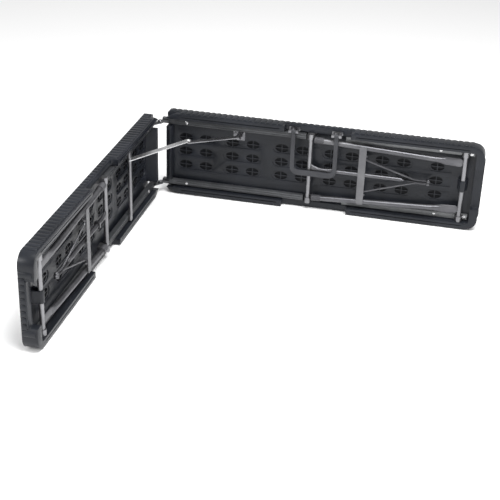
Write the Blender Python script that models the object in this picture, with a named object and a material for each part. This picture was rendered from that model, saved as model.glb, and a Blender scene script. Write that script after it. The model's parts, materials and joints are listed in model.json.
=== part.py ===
"""Fold-in-half bench, standing on its long edges and open to a right angle.

Each half is modelled in its own frame: x runs from the fold axis to the outer
end, y runs from the rim into the shell, and z runs across the width.  The left
half is the same moulding turned half a turn, so it uses the same functions.
"""
import math

import bmesh
import bpy
from mathutils import Matrix, Vector

MM = 0.001

# Overall sizes.
HALF_LENGTH = 915.2 * MM
WIDTH = 250.0 * MM
THICK = 40.0 * MM
RIM_GAP = 1.0 * MM

# Shell.
WALL = 20.0 * MM
FLOOR = 8.0 * MM
HINGE_END = 15.2 * MM
HINGE_WALL = 17.0 * MM
END_WALL = 25.2 * MM
CORNER = 34.0 * MM
HINGE_CORNER = 8.0 * MM
CHAMFER = (30.0 * MM, 17.0 * MM)
CHAMFER_DEEP = 14.0 * MM
ALONG = HALF_LENGTH / 915.2
NOTCH = (359.0 * ALONG, 547.0 * ALONG)
NOTCH_DEPTH = 20.0 * MM
END_NOTCH = 60.0 * MM
SLOT_LOW = 18.5 * MM
SLOT_HIGH = 43.5 * MM

# Clearances.
GAP = 0.3 * MM
RUN = 0.3 * MM

# Hinge at the fold.
PIN_R = 3.0 * MM
EAR_R = 8.0 * MM
EAR_THICK = 3.0 * MM
RAIL_Z = 31.0 * MM
RAIL_HALF = 8.0 * MM
RAIL_T = (10.5 * MM, 26.0 * MM)
BRACE_S = 434.0 * ALONG
HINGE_RAIL = (3.0 * MM, BRACE_S - 14.0 * MM)
OUTER_RAIL = (531.0 * ALONG, HALF_LENGTH - 30.2 * MM)
OUTER_RAIL_T = (20.3 * MM, 31.7 * MM)
OUTER_RAIL_Z = 29.0 * MM

# Leg frame.
PIVOT_S = 861.5 * ALONG
TUBE_T = 10.5 * MM
PIVOT_R = 6.0 * MM
LEG_R = 8.0 * MM
LEG_FOOT_S = BRACE_S + 14.0 * MM
LEG_FOOT_Z = WIDTH / 2 - 37.0 * MM
LEG_TOP_Z = WIDTH / 2 - 55.0 * MM
BUSH_R = 8.5 * MM
BUSH_LONG = 16.0 * MM
BAR_S = (573.0 * ALONG, 593.0 * ALONG)
BAR_T = (TUBE_T - LEG_R - 2.2 * MM, TUBE_T - LEG_R - GAP)
FORK_S = 590.0 * ALONG
FORK_T = 6.0 * MM
FORK_R = 2.5 * MM
LUG_Z = WIDTH / 2 - 67.0 * MM

# Brace.
KNEE_S = 768.0 * ALONG
RING_S = 494.0 * ALONG
ARM_R = 6.0 * MM

# Stay.
CROSS_S = 250.0 * ALONG
CROSS_T = 6.5 * MM
CROSS_R = 5.0 * MM
STUD_S = 226.0 * ALONG
STAY_WIDE = 16.0 * MM
KNUCKLE = (104.0 * ALONG, -73.0 * ALONG)

# Handle.
CLIP_S = (386.0 * ALONG, 507.0 * ALONG)
CLIP_HALF = 4.0 * MM
HANDLE_Z = WIDTH - 15.0 * MM
HANDLE_HALF = 3.0 * MM
HANDLE_T = TUBE_T - LEG_R - HANDLE_HALF - 0.5 * MM
ARM_HALF = 6.0 * MM
GRIP_LOW = 107.0 * MM
GRIP_HIGH = 123.0 * MM
GRIP_CORNER = 24.0 * MM

MID = WIDTH / 2
LEFT_SHIFT = (HALF_LENGTH - RIM_GAP - THICK) / 2
FOLD = Vector((-LEFT_SHIFT, LEFT_SHIFT, 0.0))

for old in list(bpy.data.objects):
    bpy.data.objects.remove(old)

PARTS = bpy.data.collections.new("Folding bench")
CUTTERS = bpy.data.collections.new("Cutters")
bpy.context.scene.collection.children.link(PARTS)
bpy.context.scene.collection.children.link(CUTTERS)


def material(name, colour, metallic, roughness):
    mat = bpy.data.materials.new(name)
    mat.use_nodes = True
    node = mat.node_tree.nodes["Principled BSDF"]
    node.inputs["Base Color"].default_value = (*colour, 1.0)
    node.inputs["Metallic"].default_value = metallic
    node.inputs["Roughness"].default_value = roughness
    return mat


PLASTIC = material("dark_plastic", (0.03, 0.033, 0.04), 0.0, 0.5)
GREY_PLASTIC = material("grey_plastic", (0.12, 0.12, 0.13), 0.0, 0.5)
COAT = material("grey_powder_coat", (0.16, 0.17, 0.18), 0.3, 0.5)
STEEL = material("satin_steel", (0.4, 0.41, 0.43), 0.8, 0.35)
ZINC = material("bright_zinc", (0.7, 0.7, 0.7), 1.0, 0.25)


def empty(name, parent, spot):
    ob = bpy.data.objects.new(name, None)
    PARTS.objects.link(ob)
    ob.parent = parent
    ob.location = spot
    return ob


def finish(name, bm, mat, parent, spot=(0, 0, 0), smooth=True):
    """Turn a bmesh in half coordinates into a named node of its body."""
    bmesh.ops.translate(bm, verts=bm.verts, vec=-Vector(spot))
    bmesh.ops.recalc_face_normals(bm, faces=bm.faces)
    mesh = bpy.data.meshes.new(name)
    bm.to_mesh(mesh)
    bm.free()
    if smooth:
        mesh.shade_smooth()
        mesh.set_sharp_from_angle(angle=math.radians(35))
    ob = bpy.data.objects.new(name, mesh)
    ob.parent = parent
    mesh.materials.append(mat)
    PARTS.objects.link(ob)
    return ob


def add_box(bm, low, high, soft=0.0, segments=2, around=None):
    """A box, with its edges rounded all over or only along one direction."""
    size = Vector(high) - Vector(low)
    spot = Matrix.Translation((Vector(high) + Vector(low)) / 2)
    made = bmesh.ops.create_cube(bm, size=1.0, matrix=spot @ Matrix.Diagonal((*size, 1.0)))
    edges = list({edge for vert in made["verts"] for edge in vert.link_edges})
    if around is not None:
        edges = [edge for edge in edges if abs((edge.verts[0].co - edge.verts[1].co)[around]) > 1e-6]
    if soft:
        bmesh.ops.bevel(
            bm, geom=edges, offset=soft, segments=segments, profile=0.5, affect="EDGES"
        )


def add_rod(bm, start, end, radius, sides=20, end_radius=None):
    start = Vector(start)
    end = Vector(end)
    way = end - start
    turn = way.to_track_quat("Z", "Y").to_matrix().to_4x4()
    bmesh.ops.create_cone(
        bm,
        cap_ends=True,
        segments=sides,
        radius1=radius,
        radius2=radius if end_radius is None else end_radius,
        depth=way.length,
        matrix=Matrix.Translation((start + end) / 2) @ turn,
    )


def add_lathe(bm, profile, origin, axis, sides=24):
    """Spin (radius, distance) points about an axis into one closed solid."""
    turn = Vector(axis).to_track_quat("Z", "Y").to_matrix().to_4x4()
    place = Matrix.Translation(origin) @ turn
    verts = [bm.verts.new(place @ Vector((r, 0, d))) for r, d in profile]
    closed = profile[0][0] > 0 and profile[-1][0] > 0
    edges = [bm.edges.new(pair) for pair in zip(verts, verts[1:])]
    if closed:
        edges.append(bm.edges.new((verts[-1], verts[0])))
    bmesh.ops.spin(
        bm,
        geom=verts + edges,
        cent=place @ Vector((0, 0, 0)),
        axis=(place.to_3x3() @ Vector((0, 0, 1))),
        angle=2 * math.pi,
        steps=sides,
        use_merge=True,
    )
    bmesh.ops.remove_doubles(bm, verts=bm.verts, dist=1e-6)


def add_outline(bm, points, low, high, axis):
    """Extrude a 2D outline between two planes; axis names the plane's normal."""
    others = [i for i in range(3) if i != axis]
    verts = []
    for pair in points:
        co = [0.0, 0.0, 0.0]
        co[axis] = low
        co[others[0]] = pair[0]
        co[others[1]] = pair[1]
        verts.append(bm.verts.new(co))
    face = bm.faces.new(verts)
    pushed = bmesh.ops.extrude_face_region(bm, geom=[face])
    shift = Vector((0, 0, 0))
    shift[axis] = high - low
    moved = [item for item in pushed["geom"] if isinstance(item, bmesh.types.BMVert)]
    bmesh.ops.translate(bm, verts=moved, vec=shift)


def round_outline(x0, x1, y0, y1, radius, steps=6):
    points = []
    corners = [(x1, y1, 0), (x0, y1, 1), (x0, y0, 2), (x1, y0, 3)]
    for cx, cy, quarter in corners:
        mx = cx - radius if cx == x1 else cx + radius
        my = cy - radius if cy == y1 else cy + radius
        for step in range(steps + 1):
            angle = math.radians(90 * quarter + 90 * step / steps)
            points.append((mx + radius * math.cos(angle), my + radius * math.sin(angle)))
    return points


def modifier(ob, other, how):
    """A live boolean with a hidden tool object."""
    other.hide_render = True
    other.display_type = "WIRE"
    change = ob.modifiers.new(how.title(), "BOOLEAN")
    change.operation = how
    change.solver = "EXACT"
    change.object = other


def tool(ob, name, bm, how="DIFFERENCE", spot=(0, 0, 0)):
    bmesh.ops.translate(bm, verts=bm.verts, vec=-Vector(spot))
    bmesh.ops.recalc_face_normals(bm, faces=bm.faces)
    mesh = bpy.data.meshes.new(name)
    bm.to_mesh(mesh)
    bm.free()
    other = bpy.data.objects.new(name, mesh)
    other.parent = ob.parent
    CUTTERS.objects.link(other)
    modifier(ob, other, how)


def sides(name):
    """The two edges of a half: z as it is, and mirrored across the width."""
    return ((name + "_lower", 1.0, 0.0), (name + "_upper", -1.0, WIDTH))


def panel(side, frame):
    bm = bmesh.new()
    outer = round_outline(HINGE_END, HALF_LENGTH, 0, WIDTH, CORNER, 8)
    inner = round_outline(HINGE_END, HALF_LENGTH, 0, WIDTH, HINGE_CORNER, 8)
    add_outline(bm, outer[:9] + inner[9:27] + outer[27:], 0, THICK, 1)
    ob = finish(side + "_panel", bm, PLASTIC, frame)
    for name, sign, base in sides(side + "_corner_cut"):
        bm = bmesh.new()
        more = 5 * MM
        past = (1 + more / CHAMFER[1], 1 + more / CHAMFER[0])
        points = [
            (HINGE_END - more, base - sign * more),
            (HINGE_END + CHAMFER[0] * past[0], base - sign * more),
            (HINGE_END - more, base + sign * CHAMFER[1] * past[1]),
        ]
        add_outline(bm, points, -more, CHAMFER_DEEP, 1)
        tool(ob, name, bm)

    bm = bmesh.new()
    low = HINGE_END + HINGE_WALL
    high = HALF_LENGTH - END_WALL
    hollow = round_outline(low, high, WALL, WIDTH - WALL, 6 * MM, 3)
    add_outline(bm, hollow, -5 * MM, THICK - FLOOR, 1)
    tool(ob, side + "_hollow_cut", bm)

    bm = bmesh.new()
    add_box(bm, (NOTCH[0], -5 * MM, -5 * MM), (NOTCH[1], NOTCH_DEPTH, WIDTH + 5 * MM), 6 * MM, 2, 2)
    tool(ob, side + "_rim_notch_cut", bm)
    bm = bmesh.new()
    low = HALF_LENGTH - END_WALL - 5 * MM
    high = HALF_LENGTH + 5 * MM
    add_box(bm, (low, -5 * MM, MID - END_NOTCH), (high, NOTCH_DEPTH, MID + END_NOTCH), 5 * MM, 2, 0)
    tool(ob, side + "_end_notch_cut", bm)
    for name, sign, base in sides(side + "_slot_cut"):
        bm = bmesh.new()
        edges = sorted((base + sign * SLOT_LOW, base + sign * SLOT_HIGH))
        low = HINGE_END - 5 * MM
        high = HINGE_END + HINGE_WALL + 5 * MM
        add_box(bm, (low, -5 * MM, edges[0]), (high, THICK - FLOOR, edges[1]))
        tool(ob, name, bm)

    bm = bmesh.new()
    reach = BUSH_R + 6 * MM
    foot = THICK - FLOOR + 1 * MM
    inner = PIVOT_R + 1 * MM
    points = [(PIVOT_S - reach, foot)]
    for step in range(9):
        angle = math.pi * (1 + step / 8)
        points.append((PIVOT_S + BUSH_R * math.cos(angle), TUBE_T + BUSH_R * math.sin(angle)))
    points += [(PIVOT_S + reach, foot), (PIVOT_S + inner, foot), (PIVOT_S + inner, TUBE_T)]
    for step in range(1, 8):
        angle = -math.pi * step / 8
        points.append((PIVOT_S + inner * math.cos(angle), TUBE_T + inner * math.sin(angle)))
    points += [(PIVOT_S - inner, TUBE_T), (PIVOT_S - inner, foot)]
    add_outline(bm, points, MID - 13 * MM, MID + 19 * MM, 2)
    tool(ob, side + "_saddle", bm, "UNION")
    return ob


def hinge_rails(side, frame):
    for name, sign, base in sides(side + "_hinge_rail"):
        z = base + sign * RAIL_Z
        bm = bmesh.new()
        low = (HINGE_RAIL[0], RAIL_T[0], z - RAIL_HALF)
        high = (HINGE_RAIL[1], RAIL_T[1], z + RAIL_HALF)
        add_box(bm, low, high, 2.5 * MM, 2, 0)
        ob = finish(name, bm, COAT, frame)
        bm = bmesh.new()
        z0 = z + GAP / 2
        z1 = z0 + EAR_THICK
        ear = [(22 * MM, RAIL_T[0] + 7 * MM), (14 * MM, RAIL_T[0] + 7 * MM)]
        for step in range(11):
            angle = math.radians(120 + 18 * step)
            ear.append((EAR_R * math.cos(angle), -RIM_GAP + EAR_R * math.sin(angle)))
        ear.append((22 * MM, RAIL_T[0] - 4 * MM))
        add_outline(bm, ear, z0, z1, 2)
        tool(ob, name + "_ear", bm, "UNION")
        bm = bmesh.new()
        add_rod(bm, (0, -RIM_GAP, z - 9 * MM), (0, -RIM_GAP, z + 9 * MM), PIN_R + RUN, 24)
        tool(ob, name + "_ear_hole", bm)
        bm = bmesh.new()
        for edge in (z - 3.5 * MM, z + 3.5 * MM):
            low = (40 * MM, RAIL_T[0] - 2 * MM, edge - 1 * MM)
            high = (HINGE_RAIL[1] + 5 * MM, RAIL_T[0] + 1.2 * MM, edge + 1 * MM)
            add_box(bm, low, high)
        tool(ob, name + "_grooves", bm)
    for name, sign, base in sides(side + "_outer_rail"):
        z = base + sign * OUTER_RAIL_Z
        bm = bmesh.new()
        low = (OUTER_RAIL[0], OUTER_RAIL_T[0], z - RAIL_HALF)
        high = (OUTER_RAIL[1], OUTER_RAIL_T[1], z + RAIL_HALF)
        add_box(bm, low, high, 2.0 * MM, 2, 0)
        finish(name, bm, COAT, frame)
    rivets = (
        ("_hinge_rail_rivet", 75 * MM, RAIL_T[0], RAIL_Z),
        ("_outer_rail_rivet", 793 * ALONG, OUTER_RAIL_T[0], OUTER_RAIL_Z),
    )
    for part, s, t, across in rivets:
        for name, sign, base in sides(side + part):
            bm = bmesh.new()
            profile = [(0, 0), (4.5, 0), (4.3, 0.7), (3.0, 1.4), (0, 1.8)]
            profile = [(r * MM, d * MM) for r, d in profile]
            spot = (s, t - GAP, base + sign * across)
            add_lathe(bm, profile, spot, (0, -1, 0), 20)
            finish(name, bm, ZINC, frame)


def bushes(side, frame):
    """Pillow blocks that hold the ends of the pivot tube and the brace tube."""
    places = (("_leg_bush", PIVOT_S, OUTER_RAIL_T[0]), ("_brace_bush", BRACE_S, THICK - FLOOR))
    for part, s, foot in places:
        for name, sign, base in sides(side + part):
            z0 = base + sign * (WALL + 0.6 * MM)
            z1 = z0 + sign * BUSH_LONG
            low, high = sorted((z0, z1))
            bm = bmesh.new()
            points = []
            for step in range(13):
                angle = math.pi * (1 + step / 12)
                points.append((s + BUSH_R * math.cos(angle), TUBE_T + BUSH_R * math.sin(angle)))
            points += [(s + BUSH_R + 3 * MM, foot - GAP), (s - BUSH_R - 3 * MM, foot - GAP)]
            add_outline(bm, points, low, high, 2)
            ob = finish(name, bm, COAT, frame)
            bm = bmesh.new()
            add_rod(bm, (s, TUBE_T, low - MM), (s, TUBE_T, high + MM), PIVOT_R + RUN, 28)
            tool(ob, name + "_bore", bm)


def legs(side, frame):
    spot = Vector((PIVOT_S, TUBE_T, 0))
    pivot = empty(side + "_leg_pivot", frame, spot)
    bm = bmesh.new()
    add_rod(bm, (PIVOT_S, TUBE_T, WALL + MM), (PIVOT_S, TUBE_T, WIDTH - WALL - MM), PIVOT_R, 24)
    finish(side + "_pivot_tube", bm, STEEL, pivot, spot)
    end_s = PIVOT_S - PIVOT_R - GAP
    for name, sign, base in (("_leg_lower", -1.0, 0), ("_leg_upper", 1.0, 0)):
        bm = bmesh.new()
        sections = (
            (LEG_FOOT_S, LEG_R, LEG_R),
            (PIVOT_S - 89.5 * MM, LEG_R, LEG_R),
            (PIVOT_S - 69.5 * MM, 7.2 * MM, 8.9 * MM),
            (PIVOT_S - 49.5 * MM, 3.0 * MM, 12.0 * MM),
            (end_s - 6 * MM, 3.0 * MM, 12.0 * MM),
            (end_s, 2.6 * MM, 8.0 * MM),
        )
        rings = []
        for s, deep, wide in sections:
            share = (s - LEG_FOOT_S) / (PIVOT_S - 11.5 * MM - LEG_FOOT_S)
            z = MID + sign * (LEG_FOOT_Z + (LEG_TOP_Z - LEG_FOOT_Z) * share)
            ring = []
            for step in range(20):
                angle = 2 * math.pi * step / 20
                ring.append(
                    bm.verts.new((s, TUBE_T + deep * math.cos(angle), z + wide * math.sin(angle)))
                )
            rings.append(ring)
        for first, second in zip(rings, rings[1:]):
            for step in range(20):
                nxt = (step + 1) % 20
                bm.faces.new((first[step], first[nxt], second[nxt], second[step]))
        bm.faces.new(rings[0])
        bm.faces.new(rings[-1])
        finish(side + name, bm, STEEL, pivot, spot)
    slope = (LEG_TOP_Z - LEG_FOOT_Z) / (PIVOT_S - 11.5 * MM - LEG_FOOT_S)
    bore = LEG_R / MM + 0.3
    for name, sign in (("_foot_lower", -1.0), ("_foot_upper", 1.0)):
        bm = bmesh.new()
        way = Vector((1.0, 0.0, sign * slope)).normalized()
        origin = Vector((LEG_FOOT_S, TUBE_T, MID + sign * LEG_FOOT_Z)) - way * 3.3 * MM
        profile = [(0, 0), (bore, 0), (bore + 0.7, 1.0)]
        for rib in range(5):
            d = 3.0 + 4.6 * rib
            profile += [(bore + 1.2, d), (bore + 1.2, d + 2.6)]
            profile += [(bore + 0.8, d + 3.2), (bore + 0.8, d + 4.2)]
        profile += [(bore + 0.8, 27.0), (bore, 27.0), (bore, 2.4), (0, 2.4)]
        add_lathe(bm, [(r * MM, d * MM) for r, d in profile], origin, way, 20)
        finish(side + name, bm, GREY_PLASTIC, pivot, spot)
    bm = bmesh.new()
    low = (BAR_S[0], BAR_T[0], MID - LEG_FOOT_Z + 1 * MM)
    high = (BAR_S[1], BAR_T[1], MID + LEG_FOOT_Z - 1 * MM)
    add_box(bm, low, high, 4 * MM, 2, 1)
    ob = finish(side + "_crossbar", bm, STEEL, pivot, spot)
    for number, sign in enumerate((-1.0, 1.0)):
        bm = bmesh.new()
        z = MID + sign * LUG_Z
        points = [(BAR_S[0] + 7 * MM, BAR_T[0] + 0.7 * MM), (FORK_S - 6.5 * MM, FORK_T + 2 * MM)]
        points += [(FORK_S - 3 * MM, FORK_T + 5.5 * MM), (FORK_S + 3 * MM, FORK_T + 5.5 * MM)]
        points += [(FORK_S + 6 * MM, FORK_T + 1 * MM), (BAR_S[1] - 0.5 * MM, BAR_T[0] + 0.7 * MM)]
        add_outline(bm, points, z - 1.5 * MM, z + 1.5 * MM, 2)
        tool(ob, side + f"_crossbar_lug_{number}", bm, "UNION", spot)
        bm = bmesh.new()
        add_rod(bm, (FORK_S, FORK_T, z - 4 * MM), (FORK_S, FORK_T, z + 4 * MM), FORK_R + RUN, 20)
        tool(ob, side + f"_crossbar_lug_hole_{number}", bm, "DIFFERENCE", spot)
    return pivot, spot


def wire(name, points, radius, mat, parent, spot):
    """A bent rod: a bevelled curve turned into a mesh with welded caps."""
    curve = bpy.data.curves.new(name + "_path", "CURVE")
    curve.dimensions = "3D"
    curve.bevel_depth = radius
    curve.bevel_resolution = 2
    curve.use_fill_caps = True
    line = curve.splines.new("POLY")
    line.points.add(len(points) - 1)
    for point, co in zip(line.points, points):
        point.co = (*co, 1.0)
    holder = bpy.data.objects.new(name + "_path", curve)
    bpy.context.scene.collection.objects.link(holder)
    bpy.context.view_layer.update()
    mesh = bpy.data.meshes.new_from_object(holder.evaluated_get(bpy.context.evaluated_depsgraph_get()))
    bpy.data.objects.remove(holder)
    bm = bmesh.new()
    bm.from_mesh(mesh)
    bmesh.ops.remove_doubles(bm, verts=bm.verts, dist=1e-5)
    return finish(name, bm, mat, parent, spot)


def fork(side, leg_pivot, leg_spot):
    spot = Vector((FORK_S, FORK_T, 0))
    pivot = empty(side + "_fork_pivot", leg_pivot, spot - leg_spot)
    near = 4.3 * MM
    for name, sign in (("_fork_rod_lower", -1.0), ("_fork_rod_upper", 1.0)):
        points = [
            (FORK_S, FORK_T, MID + sign * (LUG_Z + 5 * MM)),
            (FORK_S, FORK_T, MID + sign * (LUG_Z - 5 * MM)),
            (FORK_S + 1.2 * MM, FORK_T, MID + sign * (LUG_Z - 8.2 * MM)),
            (FORK_S + 5 * MM, FORK_T, MID + sign * (LUG_Z - 11 * MM)),
            (KNEE_S - 42 * MM, 8.6 * MM, MID + sign * (near + 1.6 * MM)),
            (KNEE_S - 34 * MM, 9.0 * MM, MID + sign * near),
            (KNEE_S - 4 * MM, TUBE_T, MID + sign * near),
        ]
        ob = wire(side + name, points, FORK_R, STEEL, pivot, spot)
        bm = bmesh.new()
        z0 = MID + sign * 1.9 * MM
        z1 = MID + sign * 6.6 * MM
        low, high = sorted((z0, z1))
        add_rod(bm, (KNEE_S, TUBE_T, low), (KNEE_S, TUBE_T, high), 6 * MM, 24)
        tool(ob, side + name + "_eye", bm, "UNION", spot)
        bm = bmesh.new()
        z0 = MID + sign * 6.0 * MM
        profile = [(0, 0), (4.2, 0), (4.2, 1.4), (3.0, 2.4), (0, 2.9)]
        profile = [(r * MM, d * MM) for r, d in profile]
        add_lathe(bm, profile, (KNEE_S, TUBE_T, z0), (0, 0, sign), 20)
        tool(ob, side + name + "_rivet", bm, "UNION", spot)


def brace(side, frame):
    spot = Vector((BRACE_S, TUBE_T, 0))
    pivot = empty(side + "_brace_pivot", frame, spot)
    bm = bmesh.new()
    add_rod(bm, (BRACE_S, TUBE_T, WALL + MM), (BRACE_S, TUBE_T, WIDTH - WALL - MM), PIVOT_R, 24)
    finish(side + "_brace_tube", bm, STEEL, pivot, spot)
    bm = bmesh.new()
    start = BRACE_S + PIVOT_R + GAP
    round_arm = ARM_R / MM
    sections = (
        (start, 5.0, 14.0),
        (start + 9 * MM, 5.0, 9.4),
        (start + 20 * MM, 5.4, 6.6),
        (start + 26 * MM, round_arm, round_arm),
        (KNEE_S - 77 * MM, round_arm, round_arm),
        (KNEE_S - 66 * MM, 7.6, 1.3),
        (KNEE_S, 7.6, 1.3),
        (KNEE_S + 4.5 * MM, 6.0, 1.3),
        (KNEE_S + 7.4 * MM, 2.2, 1.3),
    )
    rings = []
    for s, deep, wide in sections:
        ring = []
        for step in range(16):
            angle = 2 * math.pi * (step + 0.5) / 16
            t = TUBE_T + deep * MM * math.cos(angle)
            z = MID + wide * MM * math.sin(angle)
            ring.append(bm.verts.new((s, t, z)))
        rings.append(ring)
    for first, second in zip(rings, rings[1:]):
        for step in range(16):
            nxt = (step + 1) % 16
            bm.faces.new((first[step], first[nxt], second[nxt], second[step]))
    bm.faces.new(rings[0])
    bm.faces.new(rings[-1])
    finish(side + "_brace_arm", bm, STEEL, pivot, spot)
    bm = bmesh.new()
    add_box(
        bm,
        (RING_S - 5 * MM, TUBE_T - 7.8 * MM, MID - 8.6 * MM),
        (RING_S + 5 * MM, TUBE_T + 7.8 * MM, MID + 8.6 * MM),
        3.0 * MM,
        3,
        0,
    )
    ring_spot = Vector((RING_S, TUBE_T, 0))
    ring_pivot = empty(side + "_lock_ring_slide", pivot, ring_spot - spot)
    ob = finish(side + "_lock_ring", bm, STEEL, ring_pivot, ring_spot)
    bm = bmesh.new()
    low = (RING_S - 8 * MM, TUBE_T, MID)
    add_rod(bm, low, (RING_S + 8 * MM, TUBE_T, MID), ARM_R + RUN, 28)
    tool(ob, side + "_lock_ring_bore", bm, "DIFFERENCE", ring_spot)


def hinge_pins(frame):
    for name, sign, base in sides("hinge_pin"):
        z = base + sign * RAIL_Z
        bm = bmesh.new()
        half = EAR_THICK + GAP
        profile = [
            (0, -half / MM - 2.6),
            (4.4, -half / MM - 2.2),
            (5.8, -half / MM - 0.3),
            (PIN_R / MM, -half / MM - 0.3),
            (PIN_R / MM, half / MM + 0.3),
            (5.8, half / MM + 0.3),
            (4.4, half / MM + 2.2),
            (0, half / MM + 2.6),
        ]
        add_lathe(bm, [(r * MM, d * MM) for r, d in profile], (0, -RIM_GAP, z), (0, 0, 1), 20)
        finish(name, bm, ZINC, frame)


def left_cross_tube(frame):
    bm = bmesh.new()
    reach = RAIL_Z + RAIL_HALF + 0.5 * MM
    add_rod(bm, (CROSS_S, CROSS_T, reach), (CROSS_S, CROSS_T, WIDTH - reach), CROSS_R, 20)
    ob = finish("left_cross_tube", bm, STEEL, frame)
    for number, (sign, base) in enumerate(((1.0, 0.0), (-1.0, WIDTH))):
        bm = bmesh.new()
        near, far = sorted((base + sign * (RAIL_Z - 7 * MM), base + sign * (reach + 4 * MM)))
        low = (CROSS_S - 7 * MM, CROSS_T - 3 * MM, near)
        high = (CROSS_S + 7 * MM, RAIL_T[0] - GAP, far)
        add_box(bm, low, high, 2 * MM, 2, 2)
        tool(ob, f"left_cross_tube_foot_{number}", bm, "UNION")


def bracket(name, frame):
    """A riveted plate on the shell floor that carries the stay's stud."""
    floor = THICK - FLOOR - GAP
    bm = bmesh.new()
    low = (STUD_S - 18 * MM, floor - 2 * MM, WIDTH - 72 * MM)
    add_box(bm, low, (STUD_S + 16 * MM, floor, WIDTH - 44 * MM), 3 * MM, 2, 1)
    ob = finish(name, bm, ZINC, frame)
    for number, s in enumerate((STUD_S - 12 * MM, STUD_S + 10 * MM)):
        bm = bmesh.new()
        profile = [(0, 0), (3.2, 0), (3.2, 1.6), (2.2, 2.4), (0, 2.8)]
        profile = [(r * MM, d * MM) for r, d in profile]
        add_lathe(bm, profile, (s, floor - 1 * MM, WIDTH - 51 * MM), (0, -1, 0), 16)
        tool(ob, name + f"_rivet_{number}", bm, "UNION")
    bm = bmesh.new()
    points = [(STUD_S - 8 * MM, floor - 0.5 * MM), (STUD_S - 8 * MM, 5 * MM)]
    for step in range(9):
        angle = math.pi * (1 + step / 8)
        points.append((STUD_S + 8 * MM * math.cos(angle), 5 * MM + 7 * MM * math.sin(angle)))
    points.append((STUD_S + 8 * MM, floor - 0.5 * MM))
    add_outline(bm, points, WIDTH - 59 * MM, WIDTH - 55.6 * MM, 2)
    tool(ob, name + "_ear", bm, "UNION")
    bm = bmesh.new()
    pin = PIN_R / MM
    profile = [(0, 0), (pin, 0), (pin, 5.0), (5.2, 5.0), (5.2, 6.3), (3.0, 7.1), (0, 7.2)]
    foot = (STUD_S, 3 * MM, WIDTH - 56.5 * MM)
    add_lathe(bm, [(r * MM, d * MM) for r, d in profile], foot, (0, 0, 1), 20)
    tool(ob, name + "_stud", bm, "UNION")


def link(name, frame, start, end, low, high, hole, spot, mat):
    """A flat strip with round ends in the (x, y) plane, bored at its start."""
    start = Vector(start)
    end = Vector(end)
    way = (end - start).normalized()
    side = Vector((-way.y, way.x))
    half = STAY_WIDE / 2
    points = []
    for centre, first in ((end, -90), (start, 90)):
        for step in range(9):
            angle = math.radians(first + 180 * step / 8)
            points.append(tuple(centre + half * (way * math.cos(angle) + side * math.sin(angle))))
    bm = bmesh.new()
    add_outline(bm, points, low, high, 2)
    ob = finish(name, bm, mat, frame, spot)
    bm = bmesh.new()
    add_rod(bm, (*start, low - MM), (*start, high + MM), hole, 24)
    tool(ob, name + "_hole", bm, "DIFFERENCE", spot)
    return ob


def bent_outline(low, high, bottom, top, radius, steps=6):
    """The two lower corners of a U, from its upper left round to its upper right."""
    points = [(low, top)]
    for mx, first in ((low + radius, 180), (high - radius, 270)):
        for step in range(steps + 1):
            angle = math.radians(first + 90 * step / steps)
            points.append((mx + radius * math.cos(angle), bottom + radius * (1 + math.sin(angle))))
    points.append((high, top))
    return points


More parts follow.
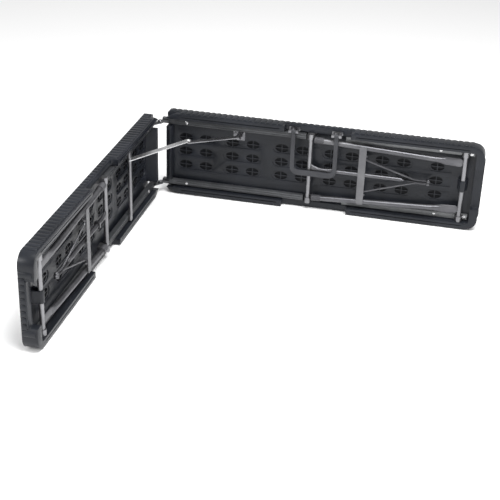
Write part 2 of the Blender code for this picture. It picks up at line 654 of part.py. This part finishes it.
def carry_handle(frame):
    foot = NOTCH_DEPTH - GAP
    for number, s in enumerate(CLIP_S):
        name = ("handle_clip_inner", "handle_clip_outer")[number]
        bm = bmesh.new()
        low = (s - 15 * MM, foot - 2 * MM, HANDLE_Z - 3.5 * MM)
        add_box(bm, low, (s + 15 * MM, foot, HANDLE_Z + 7 * MM), 1 * MM, 1, 1)
        ob = finish(name, bm, ZINC, frame)
        for mark, sign in (("a", -1.0), ("b", 1.0)):
            bm = bmesh.new()
            edges = sorted((s + sign * (ARM_HALF + 2 * RUN), s + sign * 14 * MM))
            low = (edges[0], HANDLE_T - CLIP_HALF, HANDLE_Z - CLIP_HALF)
            high = (edges[1], HANDLE_T + CLIP_HALF, HANDLE_Z + CLIP_HALF)
            add_box(bm, low, high, 1.5 * MM, 2, 0)
            tool(ob, name + "_block_" + mark, bm, "UNION")
            bm = bmesh.new()
            edges = sorted((s + sign * 8 * MM, s + sign * 12 * MM))
            low = (edges[0], HANDLE_T + 1 * MM, HANDLE_Z - 2 * MM)
            add_box(bm, low, (edges[1], foot - 1 * MM, HANDLE_Z + 2 * MM))
            tool(ob, name + "_stem_" + mark, bm, "UNION")
        bm = bmesh.new()
        low = (s - 12 * MM, HANDLE_T, HANDLE_Z)
        add_rod(bm, low, (s + 12 * MM, HANDLE_T, HANDLE_Z), PIN_R, 20)
        tool(ob, name + "_pin", bm, "UNION")
    spot = Vector((0, HANDLE_T, HANDLE_Z))
    pivot = empty("carry_handle_pivot", frame, spot)
    bm = bmesh.new()
    left, right = CLIP_S
    low = left - ARM_HALF
    high = right + ARM_HALF
    outer = bent_outline(low, high, GRIP_LOW, HANDLE_Z, GRIP_CORNER)
    low = left + ARM_HALF
    high = right - ARM_HALF
    inner = bent_outline(low, high, GRIP_HIGH, HANDLE_Z, GRIP_CORNER - 2 * ARM_HALF)
    points = outer + inner[::-1]
    add_outline(bm, points, HANDLE_T - HANDLE_HALF, HANDLE_T + HANDLE_HALF, 1)
    bmesh.ops.recalc_face_normals(bm, faces=bm.faces)
    edges = [edge for edge in bm.edges if abs((edge.verts[0].co - edge.verts[1].co).y) < 1e-6]
    bmesh.ops.bevel(bm, geom=edges, offset=1.2 * MM, segments=2, profile=0.5, affect="EDGES")
    ob = finish("carry_handle", bm, GREY_PLASTIC, pivot, spot)
    for number, s in enumerate(CLIP_S):
        bm = bmesh.new()
        reach = ARM_HALF - 0.2 * MM
        low = (s - reach, HANDLE_T, HANDLE_Z)
        add_rod(bm, low, (s + reach, HANDLE_T, HANDLE_Z), PIN_R + 3 * MM, 24)
        tool(ob, f"carry_handle_eye_{number}", bm, "UNION", spot)
        bm = bmesh.new()
        low = (s - 8 * MM, HANDLE_T, HANDLE_Z)
        add_rod(bm, low, (s + 8 * MM, HANDLE_T, HANDLE_Z), PIN_R + RUN, 24)
        tool(ob, f"carry_handle_bore_{number}", bm, "DIFFERENCE", spot)


def build_half(side, frame):
    panel(side, frame)
    hinge_rails(side, frame)
    bushes(side, frame)
    leg_pivot, leg_spot = legs(side, frame)
    fork(side, leg_pivot, leg_spot)
    brace(side, frame)


right = empty("right_half", None, FOLD + Vector((0, RIM_GAP, 0)))
left = empty("left_half", None, FOLD + Vector((-RIM_GAP, 0, WIDTH)))
left.rotation_mode = "QUATERNION"
left.rotation_quaternion = Matrix(((0, -1, 0), (-1, 0, 0), (0, 0, -1))).to_quaternion()

build_half("right", right)
build_half("left", left)
hinge_pins(right)
left_cross_tube(left)
bracket("right_stay_bracket", right)
carry_handle(right)

# The stay's two links, each in its own half's frame.
cross_spot = Vector((CROSS_S, CROSS_T, 0))
stay_left = empty("stay_left_pivot", left, cross_spot)
start = (CROSS_S, CROSS_T)
end = (-KNUCKLE[1], -KNUCKLE[0] - RIM_GAP)
left_link = link(
    "stay_link_left", stay_left, start, end, 46.5 * MM, 49.0 * MM, CROSS_R + RUN,
    cross_spot, ZINC
)
bm = bmesh.new()
profile = [(0, 44.2), (4.0, 44.6), (5.0, 45.6), (5.0, 46.6), (0, 46.6)]
profile = [(r * MM, d * MM) for r, d in profile]
add_lathe(bm, profile, (*end, 0), (0, 0, 1), 20)
bmesh.ops.translate(bm, verts=bm.verts, vec=(0, 0, 0.1 * MM))
tool(left_link, "stay_link_left_rivet", bm, "UNION", cross_spot)

stud_spot = Vector((STUD_S, 3 * MM, 0))
stay_right = empty("stay_right_pivot", right, stud_spot)
end = (KNUCKLE[0], KNUCKLE[1] - RIM_GAP)
link(
    "stay_link_right", stay_right, (STUD_S, 3 * MM), end, WIDTH - 54.3 * MM, WIDTH - 51.8 * MM,
    PIN_R + RUN, stud_spot, ZINC
)
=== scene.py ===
import json
import math

import bmesh
import bpy
from mathutils import Matrix, Vector


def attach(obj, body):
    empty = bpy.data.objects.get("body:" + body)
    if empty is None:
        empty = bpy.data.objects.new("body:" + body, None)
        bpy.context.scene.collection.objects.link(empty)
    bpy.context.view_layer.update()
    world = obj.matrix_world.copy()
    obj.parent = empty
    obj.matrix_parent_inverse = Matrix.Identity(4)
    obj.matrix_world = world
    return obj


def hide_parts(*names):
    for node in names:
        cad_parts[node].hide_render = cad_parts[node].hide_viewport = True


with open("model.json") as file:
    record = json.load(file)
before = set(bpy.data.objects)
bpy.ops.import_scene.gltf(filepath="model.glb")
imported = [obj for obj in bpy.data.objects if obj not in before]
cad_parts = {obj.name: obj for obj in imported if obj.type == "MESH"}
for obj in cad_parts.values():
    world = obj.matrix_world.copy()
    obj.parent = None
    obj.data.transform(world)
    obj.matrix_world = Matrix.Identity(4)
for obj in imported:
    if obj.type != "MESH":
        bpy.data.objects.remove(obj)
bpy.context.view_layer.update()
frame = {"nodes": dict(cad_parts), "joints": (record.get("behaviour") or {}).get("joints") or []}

# ---------------------------------------------------------------- sizes

HALF_LENGTH = 0.9152
WIDTH = 0.250
THICK = 0.040
RIM_GAP = 0.001
MIDDLE = WIDTH / 2
HINGE_END = 0.0152
TRAY_FLOOR = 0.032
RIB_PITCH = 0.01655
CORNER = 0.034
FOLD_CORNER = 0.008
DRAW_IN = 0.0026
NOTCH_START, NOTCH_END = 0.359, 0.547
POD_STARTS = (0.041, 0.179, 0.323, 0.464, 0.609)
POD_ROWS = (MIDDLE - 0.042, MIDDLE, MIDDLE + 0.042)
POD_LONG = 0.112
POD_HIGH = 0.029
POD_LAST = 0.762
POD_DEEP = 0.0042
DIMPLE_IN = 0.026
GROOVE_HALF = 0.0013
SPLINT = 0.0205
WEAVE_LIFT = 0.0011

fold = [joint for joint in frame["joints"] if joint["name"] == "fold"][0]["pos_m"]
FOLD = Vector((fold[0], fold[1], 0))

# A half's own frame: x from the fold outwards, y from the rim into the shell, z across.
RIGHT = Matrix.Translation(FOLD + Vector((0, RIM_GAP, 0)))
TURN = Matrix(((0, -1, 0, 0), (-1, 0, 0, 0), (0, 0, -1, 0), (0, 0, 0, 1)))
LEFT = Matrix.Translation(FOLD + Vector((-RIM_GAP, 0, WIDTH))) @ TURN
HALVES = {"right": RIGHT, "left": LEFT}


# ---------------------------------------------------------------- modelling helpers

def only(ob):
    """Select one object and make it active."""
    bpy.ops.object.select_all(action="DESELECT")
    ob.select_set(True)
    bpy.context.view_layer.objects.active = ob


def edit(ob, pick=None):
    """Go into edit mode with only the faces that pick accepts selected."""
    only(ob)
    bpy.ops.object.mode_set(mode="EDIT")
    bpy.ops.mesh.select_mode(type="FACE")
    bpy.ops.mesh.select_all(action="DESELECT" if pick else "SELECT")
    if pick:
        bm = bmesh.from_edit_mesh(ob.data)
        for face in bm.faces:
            if pick(face):
                face.select_set(True)
        bmesh.update_edit_mesh(ob.data)


def done():
    bpy.ops.object.mode_set(mode="OBJECT")


def bake_place(ob):
    only(ob)
    bpy.ops.object.transform_apply(location=True, rotation=True, scale=True)
    return ob


def block(name, low, high):
    """A cube primitive brought to two corners."""
    low, high = Vector(low), Vector(high)
    bpy.ops.mesh.primitive_cube_add(size=1, location=(low + high) / 2)
    ob = bpy.context.object
    ob.name = name
    ob.scale = high - low
    return bake_place(ob)


def rod(name, centre, radius, length, along="Z", sides=24):
    turns = {"X": (0, math.pi / 2, 0), "Y": (math.pi / 2, 0, 0), "Z": (0, 0, 0)}
    bpy.ops.mesh.primitive_cylinder_add(
        vertices=sides, radius=radius, depth=length, location=centre, rotation=turns[along]
    )
    ob = bpy.context.object
    ob.name = name
    return bake_place(ob)


def soften(ob, width, segments=2, angle=35):
    """Round every edge sharper than the angle."""
    only(ob)
    change = ob.modifiers.new("Rounded edges", "BEVEL")
    change.width = width
    change.segments = segments
    change.limit_method = "ANGLE"
    change.angle_limit = math.radians(angle)
    change.use_clamp_overlap = True
    bpy.ops.object.modifier_apply(modifier=change.name)
    return ob


def cut(ob, other, how="DIFFERENCE"):
    only(ob)
    change = ob.modifiers.new("Cut", "BOOLEAN")
    change.operation = how
    change.solver = "EXACT"
    change.object = other
    bpy.ops.object.modifier_apply(modifier=change.name)
    bpy.data.objects.remove(other)
    return ob


def joined(parts, name):
    only(parts[0])
    for part in parts:
        part.select_set(True)
    if len(parts) > 1:
        bpy.ops.object.join()
    ob = bpy.context.object
    ob.name = name
    return ob


def copied(ob, name, move=(0, 0, 0)):
    """A copy with a mesh of its own, moved in its mesh."""
    only(ob)
    bpy.ops.object.duplicate(linked=False)
    new = bpy.context.object
    new.name = name
    new.data.transform(Matrix.Translation(move))
    return new


def row(ob, name, moves):
    """Copies of one piece at each move, joined into one object."""
    parts = [copied(ob, name, move) for move in moves]
    bpy.data.objects.remove(ob)
    return joined(parts, name)


def smooth(ob, angle=35):
    only(ob)
    bpy.ops.object.shade_smooth_by_angle(angle=math.radians(angle))
    return ob


def settle(ob, side, name, material, body=None):
    """Turn a piece from its half's frame into the world and hang it on its body."""
    ob.name = name
    ob.data.name = name
    ob.data.transform(HALVES[side])
    only(ob)
    bpy.ops.object.mode_set(mode="EDIT")
    bpy.ops.mesh.select_all(action="SELECT")
    bpy.ops.mesh.normals_make_consistent(inside=False)
    bpy.ops.object.mode_set(mode="OBJECT")
    ob.data.materials.clear()
    ob.data.materials.append(material)
    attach(ob, body or side + "_half")
    return ob


# ---------------------------------------------------------------- material helper

class Value:
    """A shader socket that takes part in Python sums."""

    def __init__(self, recipe, socket):
        self.recipe = recipe
        self.socket = socket

    def _sum(self, operation, first, second):
        return self.recipe.node("ShaderNodeMath", {"operation": operation}, {0: first, 1: second})

    def __add__(self, other):
        return self._sum("ADD", self, other)

    def __radd__(self, other):
        return self._sum("ADD", other, self)

    def __sub__(self, other):
        return self._sum("SUBTRACT", self, other)

    def __mul__(self, other):
        return self._sum("MULTIPLY", self, other)


class Recipe:
    """One material: a Principled shader and the nodes that feed it."""

    def __init__(self, name, **constants):
        self.material = bpy.data.materials.new(name)
        self.material.use_nodes = True
        self.tree = self.material.node_tree
        self.shader = self.tree.nodes["Principled BSDF"]
        for socket, value in constants.items():
            self.shader.inputs[socket.replace("_", " ")].default_value = value
        self.place = self.node("ShaderNodeTexCoord", out="Object")

    def node(self, kind, settings=None, sockets=None, out=0):
        made = self.tree.nodes.new(kind)
        for key, value in (settings or {}).items():
            if key == "stops":
                ramp = made.color_ramp
                while len(ramp.elements) < len(value):
                    ramp.elements.new(0.5)
                for element, (position, colour) in zip(ramp.elements, value):
                    element.position = position
                    element.color = (*colour, 1.0)
            else:
                setattr(made, key, value)
        for key, value in (sockets or {}).items():
            if isinstance(value, Value):
                self.tree.links.new(value.socket, made.inputs[key])
            else:
                made.inputs[key].default_value = value
        return Value(self, made.outputs[out])

    def noise(self, scale, detail=3.0, rough=0.55, stretch=(1, 1, 1)):
        place = self.node("ShaderNodeMapping", None, {"Vector": self.place, "Scale": stretch})
        return self.node(
            "ShaderNodeTexNoise",
            None,
            {"Vector": place, "Scale": scale, "Detail": detail, "Roughness": rough},
        )

    def colours(self, factor, *stops):
        return self.node("ShaderNodeValToRGB", {"stops": stops}, {"Fac": factor})

    def feed(self, socket, value):
        self.tree.links.new(value.socket, self.shader.inputs[socket])

    def bump(self, height, distance, strength=1.0):
        normal = self.node(
            "ShaderNodeBump", None, {"Height": height, "Distance": distance, "Strength": strength}
        )
        self.feed("Normal", normal)


def moulded_plastic(name, deep, plain, worn, rough, grain=0.00025, shine=0.3):
    """Blow-moulded plastic: soft cloudy colour with a fine pebbled grain."""
    made = Recipe(name, IOR=1.48, Specular_IOR_Level=shine)
    cloud = made.noise(9.0, 4.0)
    pebble = made.noise(900.0, 2.0, 0.6)
    made.feed("Base Color", made.colours(cloud, (0.3, deep), (0.55, plain), (0.78, worn)))
    made.feed("Roughness", rough + (cloud - 0.5) * 0.25 + (pebble - 0.5) * 0.12)
    made.bump(pebble * 0.8 + made.noise(160.0, 2.0) * 0.4, grain, 0.35)
    return made.material


def painted_steel(name, deep, plain, light, rough, metallic=0.35):
    """Powder coat: an even colour, a slight orange peel and rubbed patches."""
    made = Recipe(name, Metallic=metallic, IOR=1.5)
    patch = made.noise(14.0, 5.0, 0.6)
    peel = made.noise(520.0, 2.0, 0.5)
    made.feed("Base Color", made.colours(patch, (0.3, deep), (0.52, plain), (0.75, light)))
    made.feed("Roughness", rough + (patch - 0.5) * 0.3)
    made.bump(peel, 0.00015, 0.5)
    return made.material


def drawn_steel(name, deep, plain, light, rough, stretch):
    """Drawn tube or strip: fine lines along its length and dull patches."""
    made = Recipe(name, Metallic=0.9)
    lines = made.noise(60.0, 4.0, 0.6, stretch)
    patch = made.noise(10.0, 4.0, 0.6)
    both = lines * 0.45 + patch * 0.55
    made.feed("Base Color", made.colours(both, (0.34, deep), (0.5, plain), (0.66, light)))
    made.feed("Roughness", rough + (both - 0.5) * 0.5)
    made.bump(lines, 0.0001, 0.35)
    return made.material


shell_plastic = moulded_plastic(
    "dark shell plastic", (0.007, 0.008, 0.0105),
    (0.0105, 0.012, 0.016), (0.016, 0.018, 0.024), 0.36
)
# Painted shade: a near-black copy of the shell plastic, laid on the faces inside the dimples where
# shade falls.
painted_shade_plastic = moulded_plastic(
    "plastic with painted shade in the hollows", (0.003, 0.003, 0.004),
    (0.004, 0.0045, 0.006), (0.007, 0.008, 0.01), 0.5,
    0.0001, 0.15,
)
handle_plastic = moulded_plastic(
    "grey handle plastic", (0.026, 0.027, 0.031),
    (0.036, 0.037, 0.042), (0.052, 0.054, 0.06), 0.36, 0.00015
)
foot_plastic = moulded_plastic(
    "ribbed foot plastic", (0.04, 0.04, 0.045),
    (0.055, 0.055, 0.06), (0.075, 0.075, 0.082), 0.4, 0.00015
)
# Painted shade: the hinge rails get a darker copy of the light rail coat below.
shaded_rail_coat = painted_steel(
    "rail coat with painted shade", (0.035, 0.037, 0.04), (0.052, 0.054, 0.058), (0.075, 0.078, 0.083), 0.4, 0.3
)
outer_rail_coat = painted_steel(
    "light rail coat", (0.1, 0.103, 0.107), (0.14, 0.144, 0.148), (0.19, 0.195, 0.2), 0.36, 0.4
)
leg_steel = drawn_steel(
    "satin leg tube", (0.075, 0.075, 0.082),
    (0.11, 0.11, 0.118), (0.16, 0.16, 0.168), 0.4, (0.05, 1, 1)
)
cross_steel = drawn_steel(
    "bright cross tube", (0.15, 0.15, 0.158),
    (0.21, 0.21, 0.22), (0.29, 0.29, 0.3), 0.32, (1, 1, 0.05)
)
strap_steel = painted_steel(
    "matt strap coat", (0.075, 0.075, 0.082),
    (0.105, 0.105, 0.112), (0.145, 0.145, 0.153), 0.45, 0.2
)
zinc_plate = drawn_steel(
    "bright zinc plate", (0.42, 0.42, 0.43), (0.55, 0.55, 0.56), (0.7, 0.7, 0.7), 0.24, (1, 1, 1)
)
# Painted shade: a darker copy of the bright zinc plate, for the zinc parts that sit in shade
# (clips, bracket, hinge pins, right stay link).
shaded_zinc_plate = drawn_steel(
    "zinc plate with painted shade", (0.1, 0.1, 0.11), (0.17, 0.17, 0.18), (0.27, 0.27, 0.28), 0.28, (1, 1, 1)
)

# ---------------------------------------------------------------- CAD nodes keep their shape

FINISHES = (
    ("carry_handle", handle_plastic),
    ("foot", foot_plastic),
    ("rivet", zinc_plate),
    # The darker zinc here is painted shade; the left stay link keeps the bright zinc plate.
    ("hinge_pin", shaded_zinc_plate),
    ("clip", shaded_zinc_plate),
    ("bracket", shaded_zinc_plate),
    ("stay_link_right", shaded_zinc_plate),
    ("stay_link_left", zinc_plate),
    # The hinge rails take the darker rail coat as painted shade.
    ("hinge_rail", shaded_rail_coat),
    ("outer_rail", outer_rail_coat),
    ("bush", cross_steel),
    ("pivot_tube", cross_steel),
    ("brace_tube", cross_steel),
    ("cross_tube", cross_steel),
    ("crossbar", strap_steel),
    ("leg_", leg_steel),
    ("brace_arm", leg_steel),
    ("fork_rod", leg_steel),
    ("lock_ring", leg_steel),
    ("panel", shell_plastic),
)
for node_name, node in frame["nodes"].items():
    finish = [material for key, material in FINISHES if key in node_name][0]
    node.data.materials.clear()
    node.data.materials.append(finish)


# ---------------------------------------------------------------- shells

def pocket(name, start, end):
    """The cutter for a shallow pocket in the tray floor, between two stations."""
    low = (start, TRAY_FLOOR - 0.002, -POD_HIGH / 2)
    return block(name, low, (end, TRAY_FLOOR + 0.0022, POD_HIGH / 2))


def round_end(shape, station):
    end = rod("pod end", (station, TRAY_FLOOR + 0.0001, 0), POD_HIGH / 2, POD_DEEP, "Y", 28)
    return cut(shape, end, "UNION")


def dimple(x, wide=0.019, high=0.012, deep=0.0058):
    """The cutter for one oval dimple, split in four by a plus-shaped rib."""
    cup = rod("dimple", (0, TRAY_FLOOR + deep / 2 + 0.0004, 0), 1, deep - 0.0008, "Y", 32)
    cup.data.transform(Matrix.Diagonal((wide, 1, high, 1)))
    cup.data.transform(Matrix.Translation((x, 0, 0)))
    for bar in (
        block("rib", (x - 0.03, 0, -0.0013), (x + 0.03, 0.05, 0.0013)),
        block("rib", (x - 0.0013, 0, -0.03), (x + 0.0013, 0.05, 0.03)),
    ):
        cut(cup, bar)
    return cup


def tray_pattern():
    """All pockets and all dimples of one half, each joined as one cutter."""
    places = [(s, 0, z) for s in POD_STARTS for z in POD_ROWS]
    half = POD_HIGH / 2
    pod = pocket("pod pocket", half, POD_LONG - half)
    for station in (half, POD_LONG - half):
        pod = round_end(pod, station)
    pockets = row(pod, "pockets", places)
    short = [(POD_LAST, 0, z) for z in POD_ROWS]
    last = row(round_end(pocket("last pocket", half, 0.066), half), "last pockets", short)
    pockets = joined([pockets, last], "pockets")
    near = DIMPLE_IN
    both = joined([dimple(near), dimple(POD_LONG - near)], "dimple pair")
    dimples = row(both, "dimples", places)
    extra = row(dimple(near), "last dimples", short)
    rounds = [(0, 0, POD_ROWS[0]), (0, 0, POD_ROWS[2])]
    round_ones = row(dimple(0.8765, 0.0105, 0.0105), "round dimples", rounds)
    return pockets, joined([dimples, extra, round_ones], "dimples")


def rim_grooves():
    """Narrow grooves pressed into the rim, and into the wall at the fold end."""
    parts = []
    for z in (0.0125, WIDTH - 0.0125):
        for low, high in ((0.062, NOTCH_START - 0.014), (NOTCH_END + 0.014, HALF_LENGTH - 0.045)):
            near = (low, -0.001, z - GROOVE_HALF)
            parts.append(block("groove", near, (high, 0.0032, z + GROOVE_HALF)))
    s = HINGE_END + 0.0085
    near = (s - 0.0016, -0.001, 0.054)
    parts.append(block("fold end groove", near, (s + 0.0016, 0.0075, WIDTH - 0.054)))
    return joined(parts, "rim grooves")


def shell():
    """The shell of one half, from its solid, drawn in where the ribs stand."""
    source = frame["nodes"]["right_panel"]
    only(source)
    bpy.ops.object.duplicate(linked=False)
    ob = bpy.context.object
    for key in list(ob.keys()):
        del ob[key]
    ob.parent = None
    ob.data.transform(RIGHT.inverted())
    edit(ob)
    bpy.ops.mesh.remove_doubles(threshold=0.00001)
    bpy.ops.mesh.dissolve_limited(angle_limit=math.radians(0.5))
    done()
    for vertex in ob.data.vertices:
        co = vertex.co
        bend = FOLD_CORNER if co.x < HALF_LENGTH / 2 else CORNER
        x = min(max(co.x, HINGE_END + FOLD_CORNER), HALF_LENGTH - CORNER)
        z = min(max(co.z, bend), WIDTH - bend)
        out = Vector((co.x - x, 0, co.z - z))
        if abs(out.length - bend) < 0.0002:
            co -= out.normalized() * DRAW_IN
        if co.y > THICK - 0.00001:
            co.y = THICK - 0.0012
    pockets, dimples = tray_pattern()
    cut(ob, pockets)
    cut(ob, dimples)
    cut(ob, rim_grooves())
    soften(ob, 0.0011, 2, 40)
    return smooth(ob, 40)


def side_ribs():
    """The moulded ribs that cross the shell's long edges and its outer end."""
    bpy.ops.mesh.primitive_cylinder_add(
        vertices=12, radius=1, depth=1, location=(0, 0, 0), rotation=(math.pi / 2, 0, 0)
    )
    bar = bake_place(bpy.context.object)
    bar.data.transform(Matrix.Diagonal((RIB_PITCH * 0.47, 1, 0.0026, 1)))

    def ribs(name, starts, low, high, z):
        one = copied(bar, name)
        one.data.transform(
            Matrix.Translation((0, (low + high) / 2, z)) @ Matrix.Diagonal((1, high - low, 1, 1))
        )
        soften(one, 0.0008, 2, 60)
        return row(one, name, [(s, 0, 0) for s in starts])

    first = HINGE_END + FOLD_CORNER + RIB_PITCH / 2
    count = int((HALF_LENGTH - CORNER - first) / RIB_PITCH) + 1
    starts = [first + RIB_PITCH * i for i in range(count)]
    cornered = starts[:2]
    notched = [s for s in starts if NOTCH_START - 0.008 < s < NOTCH_END + 0.008]
    plain = [s for s in starts[2:] if s not in notched]
    parts = []
    for z in (0.00265, WIDTH - 0.00265):
        parts.append(ribs("long edge ribs", plain, 0.004, THICK - 0.003, z))
        parts.append(ribs("notch ribs", notched, 0.0235, THICK - 0.003, z))
        parts.append(ribs("fold corner ribs", cornered, 0.0165, THICK - 0.003, z))
    end = copied(bar, "end ribs")
    end.data.transform(Matrix.Rotation(math.pi / 2, 4, "Y"))
    tall = int((WIDTH - 2 * CORNER) / RIB_PITCH)
    first = MIDDLE - RIB_PITCH * (tall - 1) / 2
    for i in range(tall):
        z = first + i * RIB_PITCH
        low = 0.0235 if abs(z - MIDDLE) < 0.066 else 0.005
        one = copied(end, "end rib")
        one.data.transform(
            Matrix.Translation((HALF_LENGTH - 0.00265, (low + THICK - 0.0035) / 2, z))
            @ Matrix.Diagonal((1, THICK - 0.0035 - low, 1, 1))
        )
        parts.append(soften(one, 0.0008, 2, 60))
    bpy.data.objects.remove(bar)
    bpy.data.objects.remove(end)
    return smooth(joined(parts, "side ribs"), 50)


def top_weave():
    """The woven-look top: broad splints over and under narrow ones."""
    low_s, high_s = HINGE_END + 0.006, HALF_LENGTH - 0.006
    low_z, high_z = 0.006, WIDTH - 0.006
    bpy.ops.mesh.primitive_grid_add(x_subdivisions=300, y_subdivisions=96, size=1)
    ob = bpy.context.object
    ob.scale = (high_s - low_s, high_z - low_z, 1)
    bake_place(ob)
    for vertex in ob.data.vertices:
        s = vertex.co.x + (low_s + high_s) / 2
        z = vertex.co.y + MIDDLE
        col = s / RIB_PITCH
        lane = z / SPLINT
        over = (int(col) + int(lane)) % 2
        swell = abs(math.sin(math.pi * col)) ** 0.6 * abs(math.sin(math.pi * lane)) ** 0.6
        lift = WEAVE_LIFT * swell * (1 if over else 0.45)
        x = min(max(s, HINGE_END + CORNER), HALF_LENGTH - CORNER)
        w = min(max(z, CORNER), WIDTH - CORNER)
        out = math.hypot(s - x, z - w)
        edge = 1.0 if out < CORNER - 0.004 else 0.0
        vertex.co = (s, THICK - 0.0015 + lift * edge, z)
    edit(ob, lambda face: math.hypot(
        face.calc_center_median().x
        - min(max(face.calc_center_median().x, HINGE_END + CORNER), HALF_LENGTH - CORNER),
        face.calc_center_median().z - min(max(face.calc_center_median().z, CORNER), WIDTH - CORNER),
    ) > CORNER - 0.003)
    bpy.ops.mesh.delete(type="FACE")
    done()
    edit(ob)
    bpy.ops.mesh.extrude_region_move(TRANSFORM_OT_translate={"value": (0, -0.0006, 0)})
    done()
    return smooth(ob, 60)


def end_flange():
    """The rounded lip along the finger notch of the outer end."""
    lip = rod("end lip", (HALF_LENGTH - 0.0024, 0.0222, MIDDLE), 0.0022, 0.118, "Z", 20)
    inner = rod("inner lip", (HALF_LENGTH - 0.0238, 0.0222, MIDDLE), 0.0022, 0.118, "Z", 20)
    return smooth(joined([soften(lip, 0.001, 2, 60), soften(inner, 0.001, 2, 60)], "end lips"), 60)


def bolts():
    """Bolt heads beside the bushes of the leg pivot."""
    parts = []
    s, t = 0.8765, 0.0198
    for z in (0.030, WIDTH - 0.030):
        head = rod("bolt", (s, t - 0.0012, z), 0.0034, 0.0026, "Y", 6)
        washer = rod("washer", (s, t + 0.0002, z), 0.0048, 0.0009, "Y", 20)
        parts += [soften(head, 0.0005, 2, 40), washer]
    return smooth(joined(parts, "bush bolts"))


shell_piece = shell()
ribs_piece = side_ribs()
weave_piece = top_weave()
bolts_piece = bolts()
lips_piece = end_flange()
for side in HALVES:
    piece = settle(copied(shell_piece, "shell"), side, side + "_shell", shell_plastic)
    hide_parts(side + "_panel")
    # The faces inside the dimples take the near-black plastic as painted shade in the hollows.
    piece.data.materials.append(painted_shade_plastic)
    back = HALVES[side].inverted()
    for face in piece.data.polygons:
        place = back @ face.center
        inside = HINGE_END < place.x < HALF_LENGTH - 0.026 and 0.022 < place.z < WIDTH - 0.022
        if inside and TRAY_FLOOR + 0.0028 < place.y < THICK - 0.0014:
            face.material_index = 1
    settle(copied(ribs_piece, "ribs"), side, side + "_side_ribs", shell_plastic)
    settle(copied(weave_piece, "weave"), side, side + "_top_weave", shell_plastic)
    settle(copied(lips_piece, "lips"), side, side + "_end_lips", shell_plastic)
    settle(copied(bolts_piece, "bolts"), side, side + "_bush_bolts", zinc_plate)
for spare in (shell_piece, ribs_piece, weave_piece, bolts_piece, lips_piece):
    bpy.data.objects.remove(spare)

# ---------------------------------------------------------------- floor, light and camera

bpy.ops.mesh.primitive_plane_add(size=40, location=(0, 0, -0.0005))
floor = bpy.context.object
floor.name = "studio_floor"
ground = Recipe("pale studio floor", Roughness=0.9)
ground.shader.inputs["Base Color"].default_value = (0.93, 0.93, 0.93, 1)
floor.data.materials.append(ground.material)

world = bpy.data.worlds.new("pale room")
bpy.context.scene.world = world
world.use_nodes = True
background = world.node_tree.nodes["Background"]
background.inputs["Color"].default_value = (1.0, 1.0, 1.0, 1)
background.inputs["Strength"].default_value = 0.62


def lamp(name, place, target, size, power):
    light = bpy.data.lights.new(name, "AREA")
    light.shape = "SQUARE"
    light.size = size
    light.energy = power
    ob = bpy.data.objects.new(name, light)
    bpy.context.scene.collection.objects.link(ob)
    way = Vector(target) - Vector(place)
    ob.matrix_world = Matrix.Translation(place) @ way.to_track_quat("-Z", "Y").to_matrix().to_4x4()
    return ob


lamp("soft box above", (0.6, -0.6, 2.6), (0, 0, 0.1), 1.6, 105)
lamp("soft box right", (2.6, -1.4, 1.3), (0, 0.1, 0.1), 0.9, 20)
lamp("soft box left", (-2.4, -2.2, 1.6), (0, 0, 0.1), 0.9, 40)

camera_data = bpy.data.cameras.new("camera")
camera_data.lens = 81.697
camera_data.sensor_width = 36
camera = bpy.data.objects.new("camera", camera_data)
bpy.context.scene.collection.objects.link(camera)
look = Vector((-0.188655, 0.865806, -0.463453)).normalized()
across = Vector((0.973071, 0.228454, 0.030687)).normalized()
upward = across.cross(look)
axes = Matrix((across, upward, -look)).transposed().to_4x4()
camera.matrix_world = Matrix.Translation((0.468402, -2.460558, 1.398640)) @ axes
bpy.context.scene.camera = camera
bpy.context.scene.view_settings.view_transform = "Standard"
